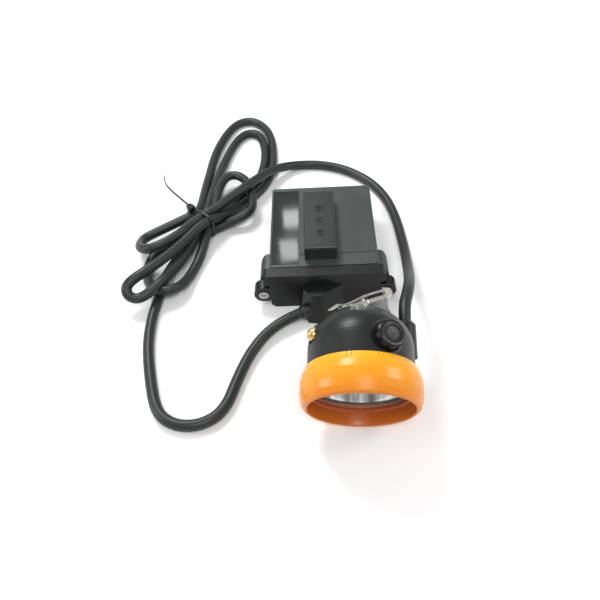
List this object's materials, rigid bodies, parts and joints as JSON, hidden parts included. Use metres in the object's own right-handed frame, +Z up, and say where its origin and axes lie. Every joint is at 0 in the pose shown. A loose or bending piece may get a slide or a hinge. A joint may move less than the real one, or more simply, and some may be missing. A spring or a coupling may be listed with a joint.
{
  "type": "miner's cap lamp",
  "caption": "Corded cap lamp: belt battery with a belt loop, tied rubber cord, and a domed lamp head with orange bezel, rotary switch, charging contact and helmet clip.",
  "frame": {"origin": "middle of the battery's resting face, which lies on the table at Z = 0", "axes": "+Z up from the table through the belt loop, +Y along the battery away from the lamp head, +X across the battery to the right"},
  "size_m": [0.209, 0.354, 0.0739],
  "materials": {
    "battery_shell": "moulded, slightly worn satin black-green",
    "lid_black": "moulded satin black",
    "loop_black": "moulded satin black",
    "plate_gloss": "polished dark cover",
    "head_black": "moulded semi-matt black",
    "knob_black": "fluted satin black",
    "bezel_orange": "glossy translucent orange",
    "lens_clear": "clear polished lens",
    "seal_rubber": "soft black rubber",
    "reflector_chrome": "vacuum-metallised mirror",
    "led_white": "emitter dome over phosphor",
    "board_green": "glass-fibre circuit board",
    "chip_black": "moulded component",
    "aluminium": "turned aluminium",
    "steel": "plated spring steel",
    "screw_steel": "plated screw",
    "brass": "turned brass",
    "cord_rubber": "rubber-sheathed cord",
    "cell_wrap": "shrink-wrapped cell can",
    "holder_plastic": "moulded comb",
    "nickel": "nickel strip",
    "copper_lead": "insulated wire",
    "tie_nylon": "black nylon"
  },
  "bodies": {
    "root": {"battery_case": "battery_shell", "belt_loop": "loop_black", "cover_plate": "plate_gloss", "battery_lid": "lid_black", "lid_gasket": "seal_rubber", "lid_screws": "screw_steel", "lid_inserts": "brass", "battery_cells": "cell_wrap", "cell_holders": "holder_plastic", "cell_tabs": "nickel", "protection_board": "board_green", "board_chips": "chip_black", "lid_gland": "cord_rubber", "cord_clamp": "holder_plastic", "clamp_screws": "screw_steel", "bezel_ring": "bezel_orange", "lens": "lens_clear", "lens_seal": "seal_rubber", "reflector": "reflector_chrome", "main_led": "led_white", "led_board": "board_green", "heat_sink": "aluminium", "led_screws": "screw_steel", "driver_board": "board_green", "driver_parts": "chip_black", "head_housing": "head_black", "micro_switch": "chip_black", "charging_screw": "brass", "charging_washer": "brass", "charging_nut": "brass", "helmet_clip": "steel", "clip_screw": "screw_steel", "tab_stud": "screw_steel", "head_gland": "cord_rubber", "battery_leads": "copper_lead", "head_leads": "copper_lead", "cord_lower": "cord_rubber", "cord_upper": "cord_rubber", "cord_hank": "cord_rubber", "cable_tie": "tie_nylon"},
    "switch": {"switch_knob": "knob_black", "switch_spindle": "brass", "switch_cam": "holder_plastic", "spindle_seal": "seal_rubber"},
    "plunger": {"switch_plunger": "holder_plastic"},
    "leaf": {"clip_leaf": "steel"}
  },
  "joints": [
    {"name": "switch_turn", "type": "hinge", "parent": "root", "child": "switch", "pos_m": [0.03196, -0.12967, 0.06557], "axis": [0.4495, -0.246, 0.8588], "range_deg": [0, 90]},
    {"name": "plunger_press", "type": "slide", "parent": "root", "child": "plunger", "axis": [0.0507, 0.9668, 0.2504], "range_m": [0, 0.001]},
    {"name": "clip_flex", "type": "hinge", "parent": "root", "child": "leaf", "pos_m": [0.03417, -0.08739, 0.05571], "axis": [0.2147, 0.6547, -0.7248], "range_deg": [0, 8], "stiffness_Nm_per_rad": 2}
  ],
  "couplings": [
    {"joint": "plunger_press", "follows": "switch_turn", "m_per_rad": 0.00063662}
  ]
}
